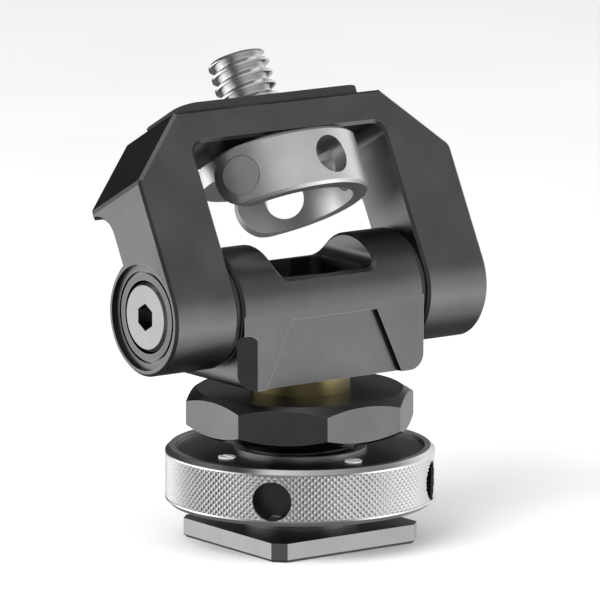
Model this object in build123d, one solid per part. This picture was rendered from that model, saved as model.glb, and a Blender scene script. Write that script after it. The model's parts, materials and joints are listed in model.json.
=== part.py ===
from build123d import *
import math
import os

# Swivel and tilt monitor mount with a clamping shoe foot.  Millimetres.
# The origin is the middle of the foot's lower face, on the swivel axis.
# +Z is up, X lies along the tilt axis and the front of the mount looks to -Y.

# ---------------------------------------------------------------- driving sizes
# General clearances
fit_gap = 0.05          # radial gap of threads, bushes and pressed pieces
face_gap = 0.05         # axial gap between faces that slide on each other
edge_break = 0.3        # chamfer on the machined edges

# Shoe foot and its threaded post
foot_width = 18.6
foot_length = 18.0
foot_thickness = 2.0
foot_corner = 1.2
rail_gap = 2.0          # room for the rails of a shoe under the clamp pad
post_radius = 6.0
post_top = 14.5
post_key_width = 2.0
post_key_depth = 1.0

# Clamp ring, its pressure pad and its top cover
ring_radius = 14.0
ring_height = 5.85
ring_edge = 0.45
pad_radius = 10.8
pad_thickness = 1.3
pad_proud = 0.15        # how far the pad stands out under the ring
cover_outer = 12.9
cover_inner = 7.0
cover_thickness = 0.5
cover_depth = 0.3       # how far the cover lies below the ring's rim
cover_screw_circle = 9.3
cover_screw_radius = 0.9
cover_screw_shank = 0.55
cover_screw_length = 1.8
ring_hole_radius = 2.05
ring_hole_depth = 2.6
ring_hole_drop = 3.25   # hole centre below the ring's top
ring_hole_turn = 42.0   # degrees from the front towards +X
ring_hole_count = 4

# Octagonal collar on the post
collar_flats = 22.4
collar_height = 4.3
ring_to_collar = 1.7
collar_face_radius = 10.7
collar_slope = 33.0
grub_radius = 1.25
grub_socket = 1.6       # across flats
grub_socket_depth = 1.2
grub_turns = (135.0, 225.0)

# Swivel friction pack
disc_radius = 5.2
disc_thickness = 1.6
bolt_radius = 2.5
bolt_head_radius = 3.9
bolt_head_height = 3.0
bolt_tip = 8.5
bolt_socket = 4.0       # across flats
bolt_socket_depth = 1.5
bush_wall = 0.8
washer_thickness = 0.8
spring_thickness = 0.5
spring_cone = 0.3
spring_count = 2

# Swivel block
axis_above_block = 7.85
barrel_radius = 6.1
wing_inset = 0.1        # side faces of the lower body inside the barrel's ends
wing_corner = 1.7
panel_drop = 0.9        # top of the recessed panel below the tilt axis
panel_top_half = 5.4
panel_bottom_half = 8.6
panel_depth = 0.6
relief_x = 1.65         # corner relief of the lower body, along X and Y
relief_y = 1.3
relief_radius = 1.2
relief_top = 2.0        # top of the relief's arch below the tilt axis
notch_half = 6.15
notch_floor = 3.2
notch_corner = 1.3
pocket_radius = 4.7
pocket_web = 2.75
trough_half_x = 5.4     # open trough in the notch's floor, above the pocket
trough_half_y = 4.3
trough_corner = 1.3
trough_floor = 0.3      # trough's floor above the tilt axis

# Tilt yoke, measured from the tilt axis with the yoke upright
rest_lean = 28.0        # degrees that the yoke leans back at rest
yoke_half = 19.85
arm_thickness = 7.75
yoke_top = 19.5
bar_thickness = 3.5
yoke_chamfer = 6.8
window_corner = 1.3
arm_rear = 1.0          # rear face of an arm behind the axis
plate_rear = 3.7        # rear face of the top plate behind the axis
plate_lip = 0.8         # rear face of the plate below the corner chamfers
boss_recess_radius = 5.5
boss_recess_depth = 0.5
boss_groove_radius = 4.8
boss_groove_width = 0.3
boss_groove_depth = 0.25
counterbore_radius = 3.8

# Tilt hardware
friction_washer = 0.55
friction_washer_radius = 5.6
tilt_radius = 2.5
tilt_head_radius = 3.6
tilt_head_height = 1.9
tilt_head_inset = 0.35  # head face below the arm's outer face
tilt_tip = 6.2
tilt_socket = 2.5       # across flats
tilt_socket_depth = 1.4
tilt_bush_wall = 1.35
tilt_bush_length = 4.3

# Stud, thumb wheel and pad on the yoke
stud_radius = 3.175
shank_radius = 2.6      # a captive stud's shank is thinner than its thread
stud_clearance = 0.25
stud_reach = 5.5        # threaded length above the rubber pad
wheel_radius = 9.4
wheel_bottom = 8.8
wheel_height = 6.15
wheel_wall = 1.8
wheel_ceiling = 2.0
wheel_hub_radius = 4.8
wheel_hub_drop = 1.0
wheel_start = -55.0     # degrees from the front, centre of the band's first end
wheel_end = 155.0
wheel_hole_radius = 2.05
dowel_radius = 2.0
wheel_hole_turns = (9.0, 74.0, 139.0)
dowel_inset = 0.1
stud_washer_radius = 5.6
stud_washer_thickness = 0.5
clip_radius = 4.0
clip_thickness = 0.7
clip_recess = 1.0
clip_bite = 0.5         # depth of the clip's groove in the shank
clip_opening = 4.0
rubber_thickness = 1.0
rubber_half = 11.5
rubber_margin = 0.6
rubber_corner = 2.0

# ------------------------------------------------------------- derived positions
ring_bottom = foot_thickness + rail_gap + pad_proud
ring_top = ring_bottom + ring_height
pad_bottom = foot_thickness + rail_gap
pad_top = pad_bottom + pad_thickness
cover_top = ring_top - cover_depth
cover_bottom = cover_top - cover_thickness
collar_bottom = ring_top + ring_to_collar
collar_top = collar_bottom + collar_height
disc_top = collar_top + disc_thickness
block_bottom = disc_top + face_gap
tilt_z = block_bottom + axis_above_block
pocket_floor = block_bottom + pocket_web
washer_top = pocket_floor + washer_thickness
springs_bottom = washer_top + face_gap
spring_pitch = spring_thickness + spring_cone
springs_top = springs_bottom + spring_count * spring_pitch
arm_inner = yoke_half - arm_thickness
barrel_half = arm_inner - face_gap - friction_washer
wing_half = barrel_half - wing_inset
shoulder_x = arm_inner + tilt_bush_length
head_inner = yoke_half - tilt_head_inset - tilt_head_height
window_top = yoke_top - bar_thickness
stud_y = (plate_rear - barrel_radius) / 2
wheel_top = wheel_bottom + wheel_height
rubber_top = yoke_top + rubber_thickness
yoke_place = Pos(0, 0, tilt_z) * Rot(-rest_lean, 0, 0)


# ----------------------------------------------------------------------- helpers
def rod(radius, low, high):
    """A cylinder on the Z axis between two heights."""
    return Pos(0, 0, (low + high) / 2) * Cylinder(radius, high - low)


def tube(outer, inner, low, high):
    """A ring on the Z axis between two heights."""
    margin = 1.0
    return rod(outer, low, high) - rod(inner, low - margin, high + margin)


def slab(x, y, low, high):
    """A box centred on the Z axis between two heights."""
    return Pos(0, 0, (low + high) / 2) * Box(x, y, high - low)


def hexagon(flats, low, high):
    """A hexagonal prism on the Z axis, sized across its flats."""
    profile = RegularPolygon(flats / 2, 6, major_radius=False)
    return Pos(0, 0, low) * extrude(profile, high - low)


def turned(shape, angle):
    """Turn a shape that points to the front about Z, positive towards +X."""
    return Rot(0, 0, angle) * shape


def radial(radius, near, far, height):
    """A cylinder that points to the front, between two distances from Z."""
    return Pos(0, 0, height) * Rot(90, 0, 0) * rod(radius, near, far)


def to_side(shape, side):
    """Lay a Z axis shape along the tilt axis, pointing to +X or to -X."""
    return Pos(0, 0, tilt_z) * Rot(0, 90 * side, 0) * shape


def broken(shape, *heights):
    """Chamfer the outer circles of a turned piece at the given heights."""
    rims = [
        edge for edge in shape.edges().filter_by(GeomType.CIRCLE)
        if any(abs(edge.center().Z - height) < 1e-4 for height in heights)
    ]
    widest = max(rim.radius for rim in rims)
    return chamfer([rim for rim in rims if rim.radius > widest - 1e-4], edge_break)


def disc_spring(outer, inner, low):
    """A cone-shaped disc spring that stands on its outer rim."""
    section = Polyline(
        (outer, low),
        (outer, low + spring_thickness),
        (inner, low + spring_thickness + spring_cone),
        (inner, low + spring_cone),
        close=True,
    )
    return revolve(Plane.XZ * make_face(section), Axis.Z)


# ----------------------------------------------------------- foot and clamp ring
def shoe_foot():
    """Shoe plate with the threaded post, its keyway and its bolt hole."""
    plate = slab(foot_width, foot_length, 0, foot_thickness)
    plate = chamfer(plate.edges().filter_by(Axis.Z), foot_corner)
    plate = chamfer(plate.edges().group_by(Axis.Z)[0], edge_break)
    post = broken(rod(post_radius, 0, post_top), post_top)
    key = Pos(0, post_radius, 0) * slab(
        post_key_width, 2 * post_key_depth, foot_thickness, ring_top
    )
    hole = rod(bolt_radius + fit_gap, bolt_tip - 1, post_top + 1)
    return plate + post - key - hole


def clamp_pad():
    """Pressure pad under the ring, held from turning by the post's keyway."""
    pad = tube(pad_radius, post_radius + fit_gap, pad_bottom, pad_top)
    pad = broken(pad, pad_bottom)
    reach = post_key_depth + fit_gap
    tongue = Pos(0, post_radius + fit_gap, 0) * slab(
        post_key_width - 2 * fit_gap, 2 * (reach - 2 * fit_gap), pad_bottom, pad_top
    )
    return pad + tongue


def ring_holes(make):
    """Place a radial shape at each tommy hole of the ring."""
    step = 360 / ring_hole_count
    return [turned(make, ring_hole_turn + step * i) for i in range(ring_hole_count)]


def screw_places(make):
    """Place a shape at each screw of the ring's cover."""
    step = 360 / ring_hole_count
    point = Pos(0, -cover_screw_circle, 0) * make
    return [turned(point, step * i) for i in range(ring_hole_count)]


def clamp_ring():
    """Knurled clamp ring with tommy holes and recesses for cover and pad."""
    ring = rod(ring_radius, ring_bottom, ring_top)
    ring = chamfer(ring.edges().filter_by(GeomType.CIRCLE), ring_edge)
    ring -= rod(post_radius + fit_gap, ring_bottom - 1, ring_top + 1)
    ring -= rod(pad_radius + 2 * fit_gap, ring_bottom - 1, pad_top + face_gap)
    ring -= tube(cover_outer + fit_gap, cover_inner - fit_gap, cover_bottom, ring_top + 1)
    hole_height = ring_top - ring_hole_drop
    hole = radial(ring_hole_radius, ring_radius - ring_hole_depth, ring_radius + 1, hole_height)
    tapped = rod(cover_screw_shank + fit_gap, cover_top - cover_screw_length, cover_top)
    for cut in ring_holes(hole) + screw_places(tapped):
        ring -= cut
    return ring


def ring_top_cover():
    """Thin cover in the ring's top face, with holes for its screws."""
    cover = tube(cover_outer, cover_inner, cover_bottom, cover_top)
    hole = rod(cover_screw_radius + fit_gap, cover_bottom - 1, cover_top + 1)
    for cut in screw_places(hole):
        cover -= cut
    return cover


def ring_cover_screws():
    """Small slotted screws that hold the cover."""
    head = rod(cover_screw_radius, cover_bottom, cover_top + edge_break / 2)
    shank = rod(cover_screw_shank, cover_top - cover_screw_length, cover_bottom)
    slot = slab(3 * cover_screw_radius, edge_break, cover_top - edge_break / 2, cover_top + 1)
    return Compound(children=screw_places(head + shank - slot))


# ------------------------------------------------------- collar and friction pack
def swivel_collar():
    """Octagonal collar with turned nut chamfers, fixed on the post."""
    octagon = RegularPolygon(collar_flats / 2, 8, major_radius=False, rotation=22.5)
    prism = Pos(0, 0, collar_bottom) * extrude(octagon, collar_height)
    outer = collar_flats / 2 / math.cos(math.pi / 8) + 1
    drop = (outer - collar_face_radius) * math.tan(math.radians(collar_slope))
    section = Polyline(
        (0, collar_bottom),
        (collar_face_radius, collar_bottom),
        (outer, collar_bottom + drop),
        (outer, collar_top - drop),
        (collar_face_radius, collar_top),
        (0, collar_top),
        close=True,
    )
    collar = prism & revolve(Plane.XZ * make_face(section), Axis.Z)
    collar -= rod(post_radius + fit_gap, collar_bottom - 1, post_top + fit_gap)
    collar -= rod(bolt_radius + 2 * fit_gap, post_top, collar_top + 1)
    middle = (collar_bottom + post_top) / 2
    hole = radial(grub_radius + fit_gap, post_radius / 2, collar_flats, middle)
    for turn in grub_turns:
        collar -= turned(hole, turn)
    return collar


def collar_grub_screws():
    """Grub screws that lock the collar to the post."""
    middle = (collar_bottom + post_top) / 2
    outer = collar_flats / 2 - edge_break
    screw = radial(grub_radius, post_radius + fit_gap, outer, middle)
    socket = hexagon(grub_socket, outer - grub_socket_depth, outer + 1)
    socket = Pos(0, 0, middle) * Rot(90, 0, 0) * socket
    return Compound(children=[turned(screw - socket, turn) for turn in grub_turns])


def friction_disc():
    """Brass disc that the swivel block turns on."""
    return tube(disc_radius, bolt_radius + 2 * fit_gap, collar_top, disc_top)


def swivel_bolt():
    """Socket bolt that holds the block down on the post."""
    head = broken(rod(bolt_head_radius, springs_top, springs_top + bolt_head_height),
                  springs_top + bolt_head_height)
    shank = rod(bolt_radius, bolt_tip, springs_top)
    top = springs_top + bolt_head_height
    return head + shank - hexagon(bolt_socket, top - bolt_socket_depth, top + 1)


def swivel_disc_springs():
    """Disc springs under the bolt's head."""
    outer = bolt_head_radius
    inner = bolt_radius + 2 * fit_gap
    lows = [springs_bottom + spring_pitch * i for i in range(spring_count)]
    return Compound(children=[disc_spring(outer, inner, low) for low in lows])


# ------------------------------------------------------------------ swivel block
def block_panel():
    """Recess for the front panel of the block, a trapezium that widens downwards."""
    corners = Polyline(
        (-panel_top_half, tilt_z - panel_drop),
        (panel_top_half, tilt_z - panel_drop),
        (panel_bottom_half, block_bottom),
        (-panel_bottom_half, block_bottom),
        close=True,
    )
    face = Pos(0, -barrel_radius + panel_depth, 0) * (Plane.XZ * make_face(corners))
    return extrude(face, panel_depth)


def corner_relief():
    """Arch-topped cut that flattens the front left corner of the lower body."""
    angle = math.degrees(math.atan2(relief_y, relief_x))
    height = axis_above_block - relief_top
    arch = Pos(0, height - relief_radius) * Circle(relief_radius)
    arch += Pos(0, (height - relief_radius) / 2) * Rectangle(
        2 * relief_radius, height - relief_radius
    )
    cut = extrude(Plane.XZ * arch, relief_x + relief_y)
    middle = Pos(relief_x / 2 - wing_half, relief_y / 2 - barrel_radius, block_bottom)
    return middle * Rot(0, 0, -angle) * cut


def notch_lips(block):
    """Edges where the saddle notch meets the barrel's surface."""
    def on_barrel(point):
        return abs(math.hypot(point.Y, point.Z - tilt_z) - barrel_radius) < 1e-3

    return [
        edge for edge in block.edges()
        if all(on_barrel(edge @ part) for part in (0, 0.5, 1))
        and abs((edge @ 0.5).X) < notch_half + 1e-3
        and (edge @ 0.5).Z > tilt_z + notch_floor - 1e-3
    ]


def swivel_block():
    """Block with the tilt barrel, the saddle notch and the bolt pocket."""
    barrel = Rot(0, 90, 0) * rod(barrel_radius, -barrel_half, barrel_half)
    barrel = chamfer(barrel.edges().filter_by(GeomType.CIRCLE), edge_break)
    wings = slab(2 * wing_half, 2 * barrel_radius, block_bottom, tilt_z)
    wings = fillet(wings.edges().filter_by(Axis.Y).group_by(Axis.Z)[0], wing_corner)
    block = Pos(0, 0, tilt_z) * barrel + wings
    notch_low = tilt_z + notch_floor
    notch = slab(2 * notch_half, 4 * barrel_radius, notch_low, notch_low + 2 * barrel_radius)
    notch = fillet(notch.edges().filter_by(Axis.Y).group_by(Axis.Z)[0], notch_corner)
    block -= notch
    block = chamfer(notch_lips(block), edge_break)
    for turn in (0, 180):
        block -= turned(block_panel(), turn)
        block -= turned(corner_relief(), turn)

    trough = extrude(
        RectangleRounded(2 * trough_half_x, 2 * trough_half_y, trough_corner),
        notch_floor - trough_floor + 1,
    )
    block -= Pos(0, 0, tilt_z + trough_floor) * trough
    block -= rod(pocket_radius, pocket_floor, notch_low + 1)
    block -= rod(bolt_radius + bush_wall + fit_gap, block_bottom - 1, pocket_floor + 1)
    for side in (-1, 1):
        block -= to_side(rod(tilt_radius + fit_gap, tilt_tip - edge_break, barrel_half + 1), side)
    return block


def swivel_bush():
    """Bush in the block that turns on the swivel bolt."""
    return tube(bolt_radius + bush_wall, bolt_radius + fit_gap, block_bottom, pocket_floor)


def swivel_thrust_washer():
    """Washer on the pocket's floor, under the disc springs."""
    outer = pocket_radius - fit_gap
    return tube(outer, bolt_radius + 2 * fit_gap, pocket_floor, washer_top)


# ------------------------------------------------------------- tilt hardware
def tilt_screw(side):
    """Socket screw that clamps one arm of the yoke to the barrel."""
    outer = head_inner + tilt_head_height
    head = broken(rod(tilt_head_radius, head_inner, outer), outer)
    shank = rod(tilt_radius, tilt_tip, head_inner)
    socket = hexagon(tilt_socket, outer - tilt_socket_depth, outer + 1)
    return to_side(head + shank - socket, side)


def tilt_springs(side):
    """Disc spring under the head of a tilt screw."""
    outer = counterbore_radius - 2 * fit_gap
    return to_side(disc_spring(outer, tilt_radius + 2 * fit_gap, shoulder_x + face_gap), side)


def friction_ring(side):
    """Thin friction washer between the barrel's end and an arm."""
    inner = tilt_radius + 2 * fit_gap
    ring = tube(friction_washer_radius, inner, barrel_half, barrel_half + friction_washer)
    return to_side(ring, side)


def tilt_bush(side):
    """Bush in an arm that turns on the tilt screw."""
    outer = tilt_radius + tilt_bush_wall
    return to_side(tube(outer, tilt_radius + fit_gap, arm_inner, shoulder_x), side)


# ------------------------------------------------------------------------- yoke
def yoke_side():
    """Side outline of the yoke: boss, arm and flared top plate."""
    flare = plate_rear - arm_rear
    flare_top = yoke_top - yoke_chamfer - plate_lip
    front = Polyline(
        (arm_rear, flare_top - flare),
        (arm_rear, 0),
        (-barrel_radius, 0),
        (-barrel_radius, yoke_top),
        (plate_rear, yoke_top),
        (plate_rear, flare_top),
    )
    curve = CenterArc((plate_rear, flare_top - flare), flare, 90, 90)
    return make_face([front, curve]) + Circle(barrel_radius)


def yoke_front():
    """Front outline of the yoke: chamfered portal round a window."""
    shoulder = yoke_top - yoke_chamfer
    low = -barrel_radius - 1
    outer = Polyline(
        (-yoke_half, low),
        (-yoke_half, shoulder),
        (-yoke_half + yoke_chamfer, yoke_top),
        (yoke_half - yoke_chamfer, yoke_top),
        (yoke_half, shoulder),
        (yoke_half, low),
        close=True,
    )
    window = Rectangle(2 * arm_inner, 2 * window_top)
    window = fillet(window.vertices(), window_corner)
    gap = Pos(0, -window_top) * Rectangle(2 * arm_inner, 2 * window_top)
    return make_face(outer) - window - gap


def machined_edges(shape):
    """Sharp outline edges of the yoke's front, rear, top and side faces."""
    planes = ((Axis.Y, -barrel_radius), (Axis.X, -yoke_half), (Axis.X, yoke_half))
    chosen = ShapeList()
    for axis, place in planes:
        near, far = place - 1e-3, place + 1e-3
        chosen += shape.edges().filter_by_position(axis, near, far)
    blunt = [edge for edge in chosen if abs(edge.center().Z) > 1e-3 or
             edge.geom_type == GeomType.CIRCLE]
    return ShapeList(blunt)


def tilt_yoke():
    """Portal yoke that carries the stud and tilts on the barrel."""
    side = extrude(Plane.YZ * yoke_side(), yoke_half, both=True)
    front = extrude(Plane.XZ * yoke_front(), 2 * yoke_top, both=True)
    yoke = side & front
    yoke = chamfer(machined_edges(yoke), edge_break)
    yoke = Pos(0, 0, tilt_z) * yoke
    bush_hole = rod(tilt_radius + tilt_bush_wall + fit_gap, arm_inner - 1, shoulder_x + 1)
    counterbore = rod(counterbore_radius, shoulder_x, yoke_half + 1)
    seat = yoke_half - boss_recess_depth
    recess = rod(boss_recess_radius, seat, yoke_half + 1)
    groove_inner = boss_groove_radius - boss_groove_width
    groove = tube(boss_groove_radius, groove_inner, seat - boss_groove_depth, yoke_half)
    for side_sign in (-1, 1):
        for cut in (bush_hole, counterbore, recess, groove):
            yoke -= to_side(cut, side_sign)
    clip_seat = rod(clip_radius + 2 * fit_gap, yoke_top - clip_recess, yoke_top + 1)
    bore = rod(stud_radius + stud_clearance, window_top - 1, yoke_top + 1)
    return yoke - Pos(0, stud_y, tilt_z) * (clip_seat + bore)


def on_yoke(shape):
    """Place an upright piece of the stud's axis on the leaning yoke."""
    return yoke_place * Pos(0, stud_y, 0) * shape


def lean(shape):
    """Lean a piece that was made at the tilt axis with the yoke upright."""
    return yoke_place * Pos(0, 0, -tilt_z) * shape


def yoke_pad():
    """Rubber pad glued to the yoke's top face."""
    depth = plate_rear + barrel_radius - 2 * rubber_margin
    outline = RectangleRounded(2 * rubber_half, depth, rubber_corner)
    outline -= Circle(stud_radius + stud_clearance)
    return on_yoke(Pos(0, 0, yoke_top) * extrude(outline, rubber_thickness))


# ------------------------------------------------------------ stud and thumb wheel
def thumb_wheel():
    """Cup-shaped wheel whose band ends in two round lugs."""
    middle = wheel_bottom + wheel_height / 2
    band = tube(wheel_radius, wheel_radius - wheel_wall, wheel_bottom, wheel_top)
    rims = band.edges().filter_by(GeomType.CIRCLE)
    band = chamfer([rim for rim in rims if rim.radius > wheel_radius - 0.1], edge_break)
    reach = 2 * wheel_radius
    wedge = Pos(0, 0, wheel_bottom) * extrude(
        make_face([
            Line((0, 0), PolarLine((0, 0), reach, wheel_start - 90) @ 1),
            CenterArc((0, 0), reach, wheel_start - 90, wheel_end - wheel_start),
            Line(PolarLine((0, 0), reach, wheel_end - 90) @ 1, (0, 0)),
        ]),
        wheel_height,
    )
    lug = radial(wheel_height / 2 - 1e-3, wheel_hub_radius, reach, middle)
    band = band & (wedge + turned(lug, wheel_start) + turned(lug, wheel_end))
    ceiling = rod(wheel_radius - wheel_wall + fit_gap, wheel_top - wheel_ceiling, wheel_top)
    hub = rod(wheel_hub_radius, wheel_top - wheel_ceiling - wheel_hub_drop, wheel_top)
    wheel = band + ceiling + hub
    wheel -= rod(shank_radius + fit_gap, 0, wheel_top + 1)
    near = wheel_hub_radius + fit_gap
    wheel -= turned(radial(dowel_radius + fit_gap, near, reach, middle), wheel_start)
    for turn in wheel_hole_turns:
        wheel -= turned(radial(wheel_hole_radius, near, reach, middle), turn)
    return on_yoke(wheel)


def wheel_dowel():
    """Steel dowel in the first lug of the wheel's band."""
    middle = wheel_bottom + wheel_height / 2
    far = wheel_radius - dowel_inset
    pin = radial(dowel_radius, wheel_hub_radius + 2 * fit_gap, far, middle)
    return on_yoke(turned(pin, wheel_start))


def mounting_stud():
    """Threaded stud that the wheel turns, shown at its thread's outer size."""
    low = wheel_top - wheel_ceiling - wheel_hub_drop
    top = rubber_top + stud_reach
    thread = broken(rod(stud_radius, rubber_top, top), top)
    shank = rod(shank_radius, low, rubber_top)
    seat = clip_seat_height()
    groove_height = clip_thickness + 2 * fit_gap
    groove = tube(stud_radius, shank_radius - clip_bite, seat, seat + groove_height)
    return on_yoke(thread + shank - groove)


def clip_seat_height():
    """Height at which the clip's groove begins."""
    return yoke_top - clip_recess + fit_gap


def retaining_clip():
    """Open clip in the stud's groove that keeps the stud in the yoke."""
    low = clip_seat_height() + fit_gap
    clip = tube(clip_radius, shank_radius - clip_bite + fit_gap, low, low + clip_thickness)
    opening = slab(clip_opening, 2 * clip_radius, low, low + clip_thickness)
    return on_yoke(clip - Pos(0, clip_radius, 0) * opening)


def stud_thrust_washer():
    """Steel washer on top of the wheel."""
    inner = shank_radius + fit_gap
    top = wheel_top + stud_washer_thickness
    return on_yoke(tube(stud_washer_radius, inner, wheel_top, top))


def nylon_washer():
    """Nylon washer that slides under the yoke's bar."""
    inner = shank_radius + fit_gap
    low = wheel_top + stud_washer_thickness
    return on_yoke(tube(stud_washer_radius, inner, low, window_top - face_gap))


# ------------------------------------------------------------------------ export
nodes = {
    "shoe_foot": shoe_foot(),
    "clamp_pad": clamp_pad(),
    "clamp_ring": clamp_ring(),
    "ring_top_cover": ring_top_cover(),
    "ring_cover_screws": ring_cover_screws(),
    "swivel_collar": swivel_collar(),
    "collar_grub_screws": collar_grub_screws(),
    "friction_disc": friction_disc(),
    "swivel_bolt": swivel_bolt(),
    "swivel_disc_springs": swivel_disc_springs(),
    "swivel_block": swivel_block(),
    "swivel_bush": swivel_bush(),
    "swivel_thrust_washer": swivel_thrust_washer(),
    "tilt_yoke": lean(tilt_yoke()),
    "yoke_pad": yoke_pad(),
    "thumb_wheel": thumb_wheel(),
    "wheel_dowel": wheel_dowel(),
    "mounting_stud": mounting_stud(),
    "retaining_clip": retaining_clip(),
    "stud_thrust_washer": stud_thrust_washer(),
    "nylon_washer": nylon_washer(),
}
for name, side in (("left", -1), ("right", 1)):
    nodes["tilt_screw_" + name] = tilt_screw(side)
    nodes["tilt_disc_spring_" + name] = tilt_springs(side)
    nodes["friction_washer_" + name] = friction_ring(side)
    nodes["tilt_bush_" + name] = lean(tilt_bush(side))

os.makedirs("parts", exist_ok=True)
for name, shape in nodes.items():
    export_step(shape, os.path.join("parts", name + ".step"))
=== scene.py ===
"""Looks of the swivel and tilt monitor mount: knurl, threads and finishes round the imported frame.

Everything is in metres in the frame's own axes: +Z up, X along the tilt axis, the front towards -Y.
"""

import json
import math

import bmesh
import bpy
from mathutils import Matrix, Vector


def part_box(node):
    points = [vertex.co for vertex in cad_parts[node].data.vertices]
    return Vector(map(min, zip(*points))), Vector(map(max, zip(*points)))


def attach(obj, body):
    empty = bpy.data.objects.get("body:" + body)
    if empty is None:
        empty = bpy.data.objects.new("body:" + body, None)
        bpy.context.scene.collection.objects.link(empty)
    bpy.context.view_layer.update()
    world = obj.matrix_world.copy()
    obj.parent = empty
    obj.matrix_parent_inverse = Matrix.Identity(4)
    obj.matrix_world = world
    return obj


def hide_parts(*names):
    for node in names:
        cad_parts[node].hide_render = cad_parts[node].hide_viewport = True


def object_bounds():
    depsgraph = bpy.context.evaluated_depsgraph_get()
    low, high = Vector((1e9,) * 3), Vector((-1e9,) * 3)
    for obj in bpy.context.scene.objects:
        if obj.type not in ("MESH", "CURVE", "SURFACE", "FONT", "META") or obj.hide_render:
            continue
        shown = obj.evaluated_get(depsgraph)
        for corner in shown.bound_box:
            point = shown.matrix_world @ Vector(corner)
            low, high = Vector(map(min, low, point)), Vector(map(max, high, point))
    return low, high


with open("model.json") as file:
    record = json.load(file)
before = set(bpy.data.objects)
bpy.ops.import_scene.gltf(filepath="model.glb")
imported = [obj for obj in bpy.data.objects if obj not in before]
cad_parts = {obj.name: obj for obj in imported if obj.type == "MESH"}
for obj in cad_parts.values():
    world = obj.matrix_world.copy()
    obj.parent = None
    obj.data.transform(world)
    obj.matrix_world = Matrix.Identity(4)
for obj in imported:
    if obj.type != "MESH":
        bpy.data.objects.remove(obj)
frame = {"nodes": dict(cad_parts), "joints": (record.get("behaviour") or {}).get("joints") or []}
nodes = frame["nodes"]
bpy.context.view_layer.update()
cad_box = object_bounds()

MM = 0.001

# Places read from the frame
ring_low, ring_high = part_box("clamp_ring")
foot_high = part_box("shoe_foot")[1]
screw_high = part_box("tilt_screw_right")[1]
joints = {joint["name"]: joint for joint in frame["joints"]}
tilt_point = Vector(joints["tilt"]["pos_m"])
stud_point = Vector(joints["stud_turn"]["pos_m"])
stud_axis = Vector(joints["stud_turn"]["axis"]).normalized()


# ---------------------------------------------------------------- detailed meshes
KNURL_PITCH = 0.68 * MM         # width and height of one diamond
KNURL_DEPTH = 0.13 * MM
KNURL_MARGIN = 0.62 * MM        # plain band between the knurl and the ring's faces
POST_RADIUS = 6.0 * MM
POST_PITCH = 1.0 * MM
STUD_RADIUS = 3.175 * MM
STUD_PITCH = 25.4 * MM / 20     # 20 turns to the inch
THREAD_DEPTH = 0.54             # depth of a thread as a share of its pitch
THREAD_STEPS = 72               # corners of a thread's turn
OUTSIDE = 30 * MM               # radius of a shell where it cuts nothing
CLAMP_GAP = 1.6 * MM            # room between the foot's plate and the pad at rest
SHARP_ANGLE = 28                # degrees between two faces from which their edge stays sharp
# corners of a thread's section: place in a pitch, share of the depth
THREAD_PROFILE = ((0, 0), (0.18, 0), (0.56, 1), (0.62, 1))


def polar(radius, angle, height):
    return Vector((radius * math.cos(angle), radius * math.sin(angle), height))


def link_mesh(name, mesh):
    """Turn a bmesh into an object with outward faces."""
    bmesh.ops.recalc_face_normals(mesh, faces=mesh.faces)
    data = bpy.data.meshes.new(name)
    mesh.to_mesh(data)
    mesh.free()
    made = bpy.data.objects.new(name, data)
    bpy.context.scene.collection.objects.link(made)
    return made


def join_loops(mesh, low, high):
    """Quads between two closed loops with the same number of corners."""
    for i in range(len(low)):
        j = (i + 1) % len(low)
        mesh.faces.new((low[i], low[j], high[j], high[i]))


def fan(mesh, loop, tip):
    """Triangles from a closed loop to one point."""
    centre = mesh.verts.new(tip)
    for i in range(len(loop)):
        mesh.faces.new((loop[i], loop[(i + 1) % len(loop)], centre))


def knurl_shell(low, high, radius):
    """Shell whose wall between two heights is a diamond knurl, a raised pyramid in each diamond."""
    around = 2 * round(2 * math.pi * radius / KNURL_PITCH)
    band_low, band_high = low + KNURL_MARGIN, high - KNURL_MARGIN
    steps = 2 * round((band_high - band_low) / KNURL_PITCH)
    mesh = bmesh.new()

    def circle(height, size):
        angles = [2 * math.pi * i / around for i in range(around)]
        return [mesh.verts.new(polar(size, angle, height)) for angle in angles]

    below, rim = circle(low - MM, OUTSIDE), circle(band_low, OUTSIDE)
    join_loops(mesh, below, rim)
    last = None
    for step in range(steps + 1):
        row = circle(band_low + (band_high - band_low) * step / steps, radius)
        for vert in row[step % 2::2]:
            vert.co.xy *= 1 - KNURL_DEPTH / radius
        if last:
            for i in range(around):
                j = (i + 1) % around
                if (i + step) % 2:
                    corners = ((last[i], last[j], row[j]), (last[i], row[j], row[i]))
                else:
                    corners = ((last[i], last[j], row[i]), (last[j], row[j], row[i]))
                for corner in corners:
                    mesh.faces.new(corner)
        else:
            join_loops(mesh, rim, row)
        last = row
    rim, above = circle(band_high, OUTSIDE), circle(high + MM, OUTSIDE)
    join_loops(mesh, last, rim)
    join_loops(mesh, rim, above)
    fan(mesh, below, (0, 0, low - MM))
    fan(mesh, above, (0, 0, high + MM))
    return link_mesh("knurl_shell", mesh)


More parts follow.
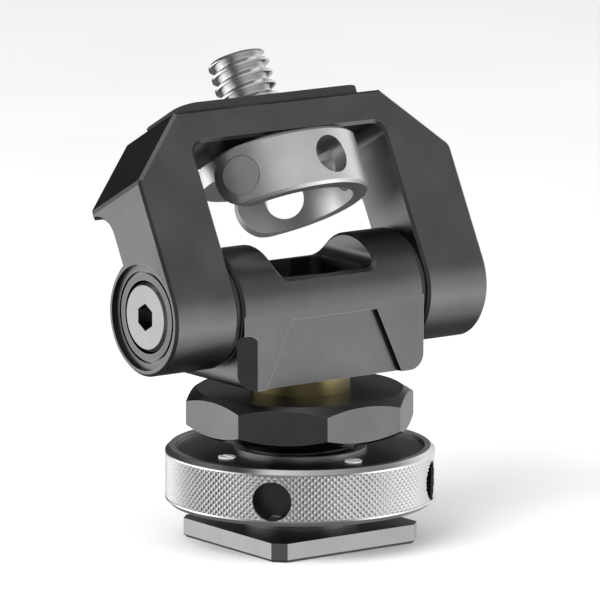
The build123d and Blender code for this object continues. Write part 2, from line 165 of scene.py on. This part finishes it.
def thread_shell(place, radius, pitch, start, end):
    """Shell with a right-hand thread along place's Z from start to end, and wide before start."""
    mesh = bmesh.new()
    turns = math.ceil((end - start) / pitch) + 1
    grid = []
    for turn in range(turns):
        for share, drop in THREAD_PROFILE:
            size = radius - pitch * THREAD_DEPTH * drop
            row = []
            for i in range(THREAD_STEPS):
                part = i / THREAD_STEPS
                height = start + (turn + share + part) * pitch
                row.append(mesh.verts.new(polar(size, 2 * math.pi * part, height)))
            grid.append(row)
    rows, stations, last = len(grid), len(THREAD_PROFILE), THREAD_STEPS - 1
    for m in range(rows - 1):
        for i in range(last):
            mesh.faces.new((grid[m][i], grid[m][i + 1], grid[m + 1][i + 1], grid[m + 1][i]))
    for m in range(rows - 1 - stations):
        upper = m + stations
        mesh.faces.new((grid[m][last], grid[upper][0], grid[upper + 1][0], grid[m + 1][last]))
    first_loop = grid[0] + [grid[m][0] for m in range(stations, 0, -1)]
    last_loop = grid[-1] + [grid[m][last] for m in range(rows - 2, rows - 2 - stations, -1)]
    corners = len(first_loop)
    angles = [2 * math.pi * i / corners for i in range(corners)]
    skirt = [mesh.verts.new(polar(OUTSIDE, angle, start)) for angle in angles]
    base = [mesh.verts.new(polar(OUTSIDE, angle, start - OUTSIDE)) for angle in angles]
    join_loops(mesh, first_loop, skirt)
    join_loops(mesh, skirt, base)
    fan(mesh, base, (0, 0, start - OUTSIDE))
    fan(mesh, last_loop, (0, 0, end + 2 * pitch))
    mesh.transform(place)
    return link_mesh("thread_shell", mesh)


def carve(node, shell, body):
    """Detailed copy of a CAD node: its shape within a shell."""
    piece = bpy.data.objects.new(node + "_detailed", nodes[node].data.copy())
    bpy.context.scene.collection.objects.link(piece)
    modifier = piece.modifiers.new("carve", "BOOLEAN")
    modifier.operation, modifier.solver, modifier.object = "INTERSECT", "EXACT", shell
    graph = bpy.context.evaluated_depsgraph_get()
    mesh = bpy.data.meshes.new_from_object(piece.evaluated_get(graph))
    piece.modifiers.clear()
    piece.data = mesh
    bpy.data.objects.remove(shell)
    if "custom_normal" in mesh.attributes:
        mesh.attributes.remove(mesh.attributes["custom_normal"])
    mesh.shade_smooth()
    mesh.set_sharp_from_angle(angle=math.radians(SHARP_ANGLE))
    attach(piece, body)
    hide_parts(node)
    return piece


def along(axis, point, node):
    """Lowest and highest place of a node along an axis through a point."""
    places = [(vert.co - point).dot(axis) for vert in nodes[node].data.vertices]
    return min(places), max(places)


pad_top = along(stud_axis, stud_point, "yoke_pad")[1]
stud_end = along(stud_axis, stud_point, "mounting_stud")[1]
stud_lean = stud_axis.to_track_quat("Z", "Y").to_matrix().to_4x4()
stud_place = Matrix.Translation(stud_point) @ stud_lean
plate_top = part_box("clamp_pad")[0].z - CLAMP_GAP
detailed = {
    "clamp_ring": carve("clamp_ring", knurl_shell(ring_low.z, ring_high.z, ring_high.x),
                        "ring"),
    "shoe_foot": carve("shoe_foot",
                       thread_shell(Matrix(), POST_RADIUS, POST_PITCH, plate_top, foot_high.z),
                       "foot"),
    "mounting_stud": carve("mounting_stud",
                           thread_shell(stud_place, STUD_RADIUS, STUD_PITCH, pad_top, stud_end),
                           "stud"),
}


# --------------------------------------------------------------------- materials
CLOUDING = 6 * MM               # broad patches in an anodised finish
GRAIN = 0.16 * MM               # blasted grain of an anodised face
GRAIN_DEPTH = 0.012 * MM
WORN_HIGHLIGHT_WIDTH = 0.12 * MM          # width of the edges that have worn bright, which also paints their highlight
WORN_HIGHLIGHT_STRENGTH = 3.0
WORN_HIGHLIGHT_BRIGHTNESS = 2.6           # shade of a worn edge and its painted highlight as a share of the finish
TURNED_CLOUDING = 3 * MM        # broad patches in turned metal
TOOL_PITCH = 0.12 * MM          # distance between the rings that a cutting tool leaves
TOOL_DEPTH = 0.01 * MM
MOULDED_GRAIN = 0.12 * MM       # grain of nylon and rubber
MOULDED_DEPTH = 0.03 * MM
DARK_ZONE_FADE = 0.05 * MM         # width over which a darker zone fades out


class Nodes:
    """A material's node tree with short calls for the nodes that the finishes need."""

    def __init__(self, name):
        self.material = bpy.data.materials.new(name)
        self.material.use_nodes = True
        self.tree = self.material.node_tree
        self.shader = self.tree.nodes["Principled BSDF"]
        self.place = self.add("ShaderNodeTexCoord").outputs["Object"]

    def add(self, kind, **settings):
        node = self.tree.nodes.new(kind)
        for key, value in settings.items():
            setattr(node, key, value)
        return node

    def link(self, source, target):
        self.tree.links.new(source, target)

    def math(self, operation, first, second=0.0, clamp=False):
        node = self.add("ShaderNodeMath", operation=operation, use_clamp=clamp)
        for socket, value in zip(node.inputs, (first, second)):
            if isinstance(value, (int, float)):
                socket.default_value = value
            else:
                self.link(value, socket)
        return node.outputs[0]

    def noise(self, size, detail):
        """Noise with features of about this size in metres."""
        mapping = self.add("ShaderNodeMapping")
        mapping.inputs["Scale"].default_value = (1 / size,) * 3
        self.link(self.place, mapping.inputs["Vector"])
        node = self.add("ShaderNodeTexNoise")
        node.inputs["Scale"].default_value = 1.0
        node.inputs["Detail"].default_value = detail
        self.link(mapping.outputs[0], node.inputs["Vector"])
        return node.outputs["Fac"]

    def radius(self, centre, axis):
        """Distance from an axis through centre."""
        shift = self.add("ShaderNodeVectorMath", operation="SUBTRACT")
        shift.inputs[1].default_value = centre
        self.link(self.place, shift.inputs[0])
        cross = self.add("ShaderNodeVectorMath", operation="CROSS_PRODUCT")
        cross.inputs[1].default_value = axis
        self.link(shift.outputs[0], cross.inputs[0])
        length = self.add("ShaderNodeVectorMath", operation="LENGTH")
        self.link(cross.outputs[0], length.inputs[0])
        return length.outputs["Value"]

    def lathe_marks(self, centre, axis, pitch):
        """Fine rings round an axis, as a cutting tool leaves them."""
        node = self.add("ShaderNodeTexNoise", noise_dimensions="1D")
        node.inputs["Scale"].default_value = 1.0
        node.inputs["Detail"].default_value = 3.0
        self.link(self.math("DIVIDE", self.radius(centre, axis), pitch), node.inputs["W"])
        return node.outputs["Fac"]

    def span(self, value, low, high):
        """Map a 0 to 1 pattern to the range from low to high."""
        node = self.add("ShaderNodeMapRange")
        node.inputs["To Min"].default_value = low
        node.inputs["To Max"].default_value = high
        self.link(value, node.inputs["Value"])
        return node.outputs["Result"]

    def colours(self, value, *stops):
        """Colour ramp with (position, colour) stops."""
        ramp = self.add("ShaderNodeValToRGB")
        elements = ramp.color_ramp.elements
        while len(elements) < len(stops):
            elements.new(0.5)
        for element, (position, colour) in zip(elements, stops):
            element.position = position
            element.color = (*colour, 1)
        self.link(value, ramp.inputs["Fac"])
        return ramp.outputs["Color"]

    def edges(self, size, strength):
        """White along sharp edges, where the finish has worn bright and where it paints the
        highlight that edges catch.
        """
        bevel = self.add("ShaderNodeBevel", samples=6)
        bevel.inputs["Radius"].default_value = size
        normal = self.add("ShaderNodeNewGeometry").outputs["Normal"]
        dot = self.add("ShaderNodeVectorMath", operation="DOT_PRODUCT")
        self.link(bevel.outputs["Normal"], dot.inputs[0])
        self.link(normal, dot.inputs[1])
        worn_highlight = self.math("SUBTRACT", 1.0, dot.outputs["Value"])
        return self.math("MULTIPLY", worn_highlight, strength, clamp=True)

    def below(self, value, limit):
        """One where a length is under a limit, zero past it."""
        node = self.add("ShaderNodeMapRange")
        node.inputs["From Min"].default_value = limit - DARK_ZONE_FADE
        node.inputs["From Max"].default_value = limit
        node.inputs["To Min"].default_value = 1.0
        node.inputs["To Max"].default_value = 0.0
        self.link(value, node.inputs["Value"])
        return node.outputs["Result"]

    def along(self, centre, axis):
        """Distance from a plane through centre, on either side of it."""
        shift = self.add("ShaderNodeVectorMath", operation="SUBTRACT")
        shift.inputs[1].default_value = centre
        self.link(self.place, shift.inputs[0])
        dot = self.add("ShaderNodeVectorMath", operation="DOT_PRODUCT")
        dot.inputs[1].default_value = axis
        self.link(shift.outputs[0], dot.inputs[0])
        return self.math("ABSOLUTE", dot.outputs["Value"])

    def bump(self, height, depth, strength):
        """Normal bent by a pattern of heights, depth metres from low to high."""
        node = self.add("ShaderNodeBump")
        node.inputs["Strength"].default_value = strength
        node.inputs["Distance"].default_value = depth
        self.link(height, node.inputs["Height"])
        return node.outputs["Normal"]

    def mix(self, factor, first, second):
        """Blend two colours by a pattern."""
        node = self.add("ShaderNodeMix", data_type="RGBA")
        self.link(factor, node.inputs["Factor"])
        for socket, value in ((node.inputs["A"], first), (node.inputs["B"], second)):
            colour = next(s for s in node.inputs if s.type == "RGBA" and s.name == socket.name)
            if isinstance(value, tuple):
                colour.default_value = (*value, 1)
            else:
                self.link(value, colour)
        return next(s for s in node.outputs if s.type == "RGBA")


def anodised(name, shade, roughness):
    """Bead-blasted and anodised aluminium with edges worn a little brighter, partly a painted edge
    highlight.
    """
    n = Nodes(name)
    broad = n.noise(CLOUDING, 3)
    fine = n.noise(GRAIN, 2)
    dark = tuple(c * 0.88 for c in shade)
    light = tuple(c * 1.12 for c in shade)
    body = n.colours(broad, (0.3, dark), (0.7, light))
    # worn edges, and also a painted highlight along every sharp edge
    worn_highlight = n.edges(WORN_HIGHLIGHT_WIDTH, WORN_HIGHLIGHT_STRENGTH)
    worn_highlight_shade = tuple(min(1, c * WORN_HIGHLIGHT_BRIGHTNESS) for c in shade)
    n.link(n.mix(worn_highlight, body, worn_highlight_shade), n.shader.inputs["Base Color"])
    n.shader.inputs["Metallic"].default_value = 1.0
    n.link(n.span(n.math("ADD", broad, n.math("MULTIPLY", fine, 0.5)),
                  roughness - 0.05, roughness + 0.05), n.shader.inputs["Roughness"])
    n.link(n.bump(fine, GRAIN_DEPTH, 0.5), n.shader.inputs["Normal"])
    return n.material


def turned_metal(name, shade, roughness, centre, axis, dark_zone=None, metallic=1.0):
    """Machined metal with fine tool marks round an axis.

    dark_zone is a radius, a half length and a shade: within that radius of the axis, and that far
    from centre along it, the metal has that shade; in holes and sockets this is painted shade.
    """
    n = Nodes(name)
    marks = n.lathe_marks(centre, axis, TOOL_PITCH)
    broad = n.noise(TURNED_CLOUDING, 2)
    body = n.colours(
        n.math("ADD", n.math("MULTIPLY", marks, 0.6), n.math("MULTIPLY", broad, 0.4)),
        (0.3, tuple(c * 0.9 for c in shade)), (0.7, tuple(min(1, c * 1.08) for c in shade)),
    )
    # painted shade inside holes and sockets, and a plainly darker zone on the foot's post
    if dark_zone:
        within = n.math("MULTIPLY", n.below(n.radius(centre, axis), dark_zone[0]),
                        n.below(n.along(centre, axis), dark_zone[1]))
        body = n.mix(within, body, dark_zone[2])
    n.link(body, n.shader.inputs["Base Color"])
    n.shader.inputs["Metallic"].default_value = metallic
    n.link(n.span(marks, roughness - 0.06, roughness + 0.06), n.shader.inputs["Roughness"])
    n.link(n.bump(marks, TOOL_DEPTH, 0.6), n.shader.inputs["Normal"])
    return n.material


def plastic(name, shade, roughness):
    """Black nylon or rubber with a fine grain."""
    n = Nodes(name)
    fine = n.noise(MOULDED_GRAIN, 3)
    dark = tuple(c * 0.7 for c in shade)
    light = tuple(c * 1.3 for c in shade)
    n.link(n.colours(fine, (0.3, dark), (0.7, light)), n.shader.inputs["Base Color"])
    n.link(n.span(fine, roughness - 0.08, roughness + 0.08), n.shader.inputs["Roughness"])
    n.link(n.bump(fine, MOULDED_DEPTH, 0.6), n.shader.inputs["Normal"])
    return n.material


Z_AXIS, X_AXIS = (0, 0, 1), (1, 0, 0)
origin = (0, 0, 0)
ring_middle = (0, 0, (ring_low.z + ring_high.z) / 2)
# Darker zones: radius, half length and shade; painted shade in the ring's holes and the screw's
# socket, and a darker post on the foot
HOLE_INSET, FACE_INSET = 0.35 * MM, 0.6 * MM    # bright metal kept outside the ring's painted shade
SOCKET_RADIUS, SOCKET_INSET = 1.6 * MM, 0.05 * MM
POST_MARGIN = 0.1 * MM
ring_painted_shade = (ring_high.x - HOLE_INSET, (ring_high.z - ring_low.z) / 2 - FACE_INSET,
               (0.1, 0.1, 0.105))
socket_painted_shade = (SOCKET_RADIUS, screw_high.x - SOCKET_INSET, (0.19, 0.19, 0.195))
# the foot's post is darker between the plate and its top
post_middle = (0, 0, (plate_top + foot_high.z) / 2)
post_dark_zone = (POST_RADIUS + POST_MARGIN, (foot_high.z - plate_top) / 2 - POST_MARGIN,
               (0.09, 0.09, 0.092))
finishes = {
    "black": anodised("black_satin", (0.132, 0.132, 0.134), 0.32),
    "block": anodised("block_satin", (0.122, 0.121, 0.125), 0.32),
    "silver": anodised("silver_blasted", (0.72, 0.72, 0.73), 0.36),
    "knurl": turned_metal("silver_knurl", (0.76, 0.76, 0.765), 0.3, ring_middle, Z_AXIS,
                          ring_painted_shade),
    "cover": turned_metal("black_turned", (0.085, 0.085, 0.087), 0.35, origin, Z_AXIS),
    "foot": turned_metal("foot_steel", (0.27, 0.27, 0.275), 0.36, post_middle, Z_AXIS,
                         post_dark_zone),
    "brass": turned_metal("turned_brass", (0.27, 0.225, 0.11), 0.35, origin, Z_AXIS),
    "bronze": turned_metal("bronze", (0.5, 0.32, 0.16), 0.4, origin, Z_AXIS),
    "head": turned_metal("screw_head", (0.29, 0.29, 0.29), 0.26, tilt_point, X_AXIS, socket_painted_shade),
    # cover screws: bright steel, made near white partly as a painted highlight
    "screw": turned_metal("screw_steel_painted_highlight", (0.95, 0.95, 0.95), 0.25, origin, Z_AXIS, metallic=0.3),
    "stud": turned_metal("stud_steel", (0.7, 0.7, 0.71), 0.25, stud_point, stud_axis),
    "dark": turned_metal("dark_steel", (0.3, 0.3, 0.32), 0.35, origin, Z_AXIS),
    "dowel": turned_metal("dowel_steel", (0.75, 0.75, 0.78), 0.4, stud_point, stud_axis),
    "nylon": plastic("black_nylon", (0.02, 0.02, 0.021), 0.5),
    "rubber": plastic("black_rubber", (0.018, 0.018, 0.018), 0.75),
}
node_finish = {
    "shoe_foot": "foot", "clamp_pad": "nylon", "clamp_ring": "knurl", "ring_top_cover": "cover",
    "ring_cover_screws": "screw", "swivel_collar": "black", "collar_grub_screws": "dark",
    "friction_disc": "brass", "swivel_bolt": "dark", "swivel_disc_springs": "dark",
    "swivel_block": "block", "swivel_bush": "bronze", "swivel_thrust_washer": "dark",
    "tilt_yoke": "black", "yoke_pad": "rubber", "thumb_wheel": "silver", "wheel_dowel": "dowel",
    "mounting_stud": "stud", "retaining_clip": "dark", "stud_thrust_washer": "dark",
    "nylon_washer": "nylon",
}
for side in ("left", "right"):
    node_finish["tilt_screw_" + side] = "head"
    node_finish["tilt_disc_spring_" + side] = "dark"
    node_finish["friction_washer_" + side] = "nylon"
    node_finish["tilt_bush_" + side] = "bronze"
for name, finish in node_finish.items():
    shown = detailed.get(name, nodes[name])
    for slot in shown.material_slots:
        slot.material = finishes[finish]


# ------------------------------------------------------------------ camera, lights
VIEW_BEARING = (-36, 10.5)      # azimuth and elevation of the reference view in degrees
CAMERA_DISTANCE = 0.82
FRAME_WIDTH = 0.062             # width of the view at the object
FLOOR_HALF = 3.0
FLOOR_GAP = 0.02 * MM           # keeps the foot and the floor out of one plane
ROOM_LIGHT = 0.9                # what the camera and matt faces see
DIM_ROOM = 0.17                 # what metal mirrors between the soft boxes
# name, azimuth, elevation, distance, size and power
AREA_LIGHTS = (
    ("key", -75, 35, 0.6, (0.5, 0.5), 5),
    ("fill", 30, 10, 0.7, (0.6, 0.4), 4),
)
# azimuth, elevation, inner and outer half angle in degrees, strength
SOFT_BOXES = (
    (40, -6, 8, 32, 1.75),       # strip at the front right, level with the barrel
    (40, -38, 5, 34, 1.5),       # light thrown up by the table there
    (46, 34, 6, 26, 0.46),       # weak box above it
    (-146, -12, 12, 38, 1.95),   # large box behind on the left
    (-112, -5, 10, 34, 1.4),     # its edge towards the front
    (95, 0, 10, 50, 1.2),        # box on the right
    (-15, 44, 10, 46, 0.72),     # box above the front
    (-40, -12, 5, 40, 0.2),      # the camera's side
    (-143, 74, 4, 26, 1.5),      # small box overhead, for the glints on the upper left edges
    (182, 8, 14, 36, -0.14),     # dark card behind
)


def bearing(azimuth, elevation):
    """Unit vector towards a bearing: azimuth 0 is the front and 90 is +X."""
    a, e = math.radians(azimuth), math.radians(elevation)
    return Vector((math.sin(a) * math.cos(e), -math.cos(a) * math.cos(e), math.sin(e)))


def centre_of(box):
    return (box[0] + box[1]) / 2


def make_camera():
    """Long lens at the viewing angle of the reference view."""
    target = centre_of(cad_box)
    back = bearing(*VIEW_BEARING)
    data = bpy.data.cameras.new("camera")
    camera = bpy.data.objects.new("camera", data)
    data.lens = data.sensor_width * CAMERA_DISTANCE / FRAME_WIDTH
    data.clip_start, data.clip_end = 0.01, 20
    camera.location = target + back * CAMERA_DISTANCE
    camera.rotation_mode = "QUATERNION"
    camera.rotation_quaternion = (-back).to_track_quat("-Z", "Y")
    bpy.context.scene.collection.objects.link(camera)
    bpy.context.scene.camera = camera


def area_light(name, azimuth, elevation, distance, size, power):
    """Soft box that looks at the object from a bearing."""
    target = centre_of(cad_box)
    back = bearing(azimuth, elevation)
    data = bpy.data.lights.new(name, "AREA")
    data.shape = "RECTANGLE"
    data.size, data.size_y = size
    data.energy = power
    light = bpy.data.objects.new(name, data)
    light.location = target + back * distance
    light.rotation_mode = "QUATERNION"
    light.rotation_quaternion = (-back).to_track_quat("-Z", "Y")
    light.visible_glossy = False
    bpy.context.scene.collection.objects.link(light)


def make_stage():
    """Pale floor just under the foot, large enough for every view."""
    mesh = bpy.data.meshes.new("floor")
    half, low = FLOOR_HALF, cad_box[0].z - FLOOR_GAP
    corners = [(-half, -half, low), (half, -half, low), (half, half, low), (-half, half, low)]
    mesh.from_pydata(corners, [], [(0, 1, 2, 3)])
    floor = bpy.data.objects.new("floor", mesh)
    n = Nodes("floor_paper")
    n.link(n.colours(n.noise(40 * MM, 2), (0.3, (0.8, 0.8, 0.8)), (0.7, (0.83, 0.83, 0.83))),
           n.shader.inputs["Base Color"])
    n.shader.inputs["Roughness"].default_value = 0.6
    mesh.materials.append(n.material)
    floor.visible_glossy = False
    bpy.context.scene.collection.objects.link(floor)


def make_world():
    """Plain white room; what metal mirrors of it is a few soft boxes in a dim room."""
    world = bpy.data.worlds.new("studio")
    world.use_nodes = True
    world.cycles.sampling_method = "NONE"
    tree = world.node_tree
    plain = tree.nodes["Background"]
    plain.inputs["Color"].default_value = (1, 1, 1, 1)
    plain.inputs["Strength"].default_value = ROOM_LIGHT
    direction = tree.nodes.new("ShaderNodeTexCoord").outputs["Generated"]
    total = None
    for azimuth, elevation, inner, outer, strength in SOFT_BOXES:
        dot = tree.nodes.new("ShaderNodeVectorMath")
        dot.operation = "DOT_PRODUCT"
        dot.inputs[1].default_value = bearing(azimuth, elevation)
        tree.links.new(direction, dot.inputs[0])
        glow = tree.nodes.new("ShaderNodeMapRange")
        glow.interpolation_type = "SMOOTHSTEP"
        glow.inputs["From Min"].default_value = math.cos(math.radians(outer))
        glow.inputs["From Max"].default_value = math.cos(math.radians(inner))
        glow.inputs["To Max"].default_value = strength
        tree.links.new(dot.outputs["Value"], glow.inputs["Value"])
        add = tree.nodes.new("ShaderNodeMath")
        add.inputs[1].default_value = DIM_ROOM
        tree.links.new(glow.outputs["Result"], add.inputs[0])
        if total:
            tree.links.new(total, add.inputs[1])
        total = add.outputs[0]
    mirrored = tree.nodes.new("ShaderNodeBackground")
    tree.links.new(total, mirrored.inputs["Strength"])
    choice = tree.nodes.new("ShaderNodeMixShader")
    glossy = tree.nodes.new("ShaderNodeLightPath").outputs["Is Glossy Ray"]
    tree.links.new(glossy, choice.inputs["Fac"])
    tree.links.new(plain.outputs[0], choice.inputs[1])
    tree.links.new(mirrored.outputs[0], choice.inputs[2])
    tree.links.new(choice.outputs[0], tree.nodes["World Output"].inputs["Surface"])
    bpy.context.scene.world = world


make_camera()
make_stage()
make_world()
for light in AREA_LIGHTS:
    area_light(*light)
bpy.context.scene.view_settings.view_transform = "Standard"
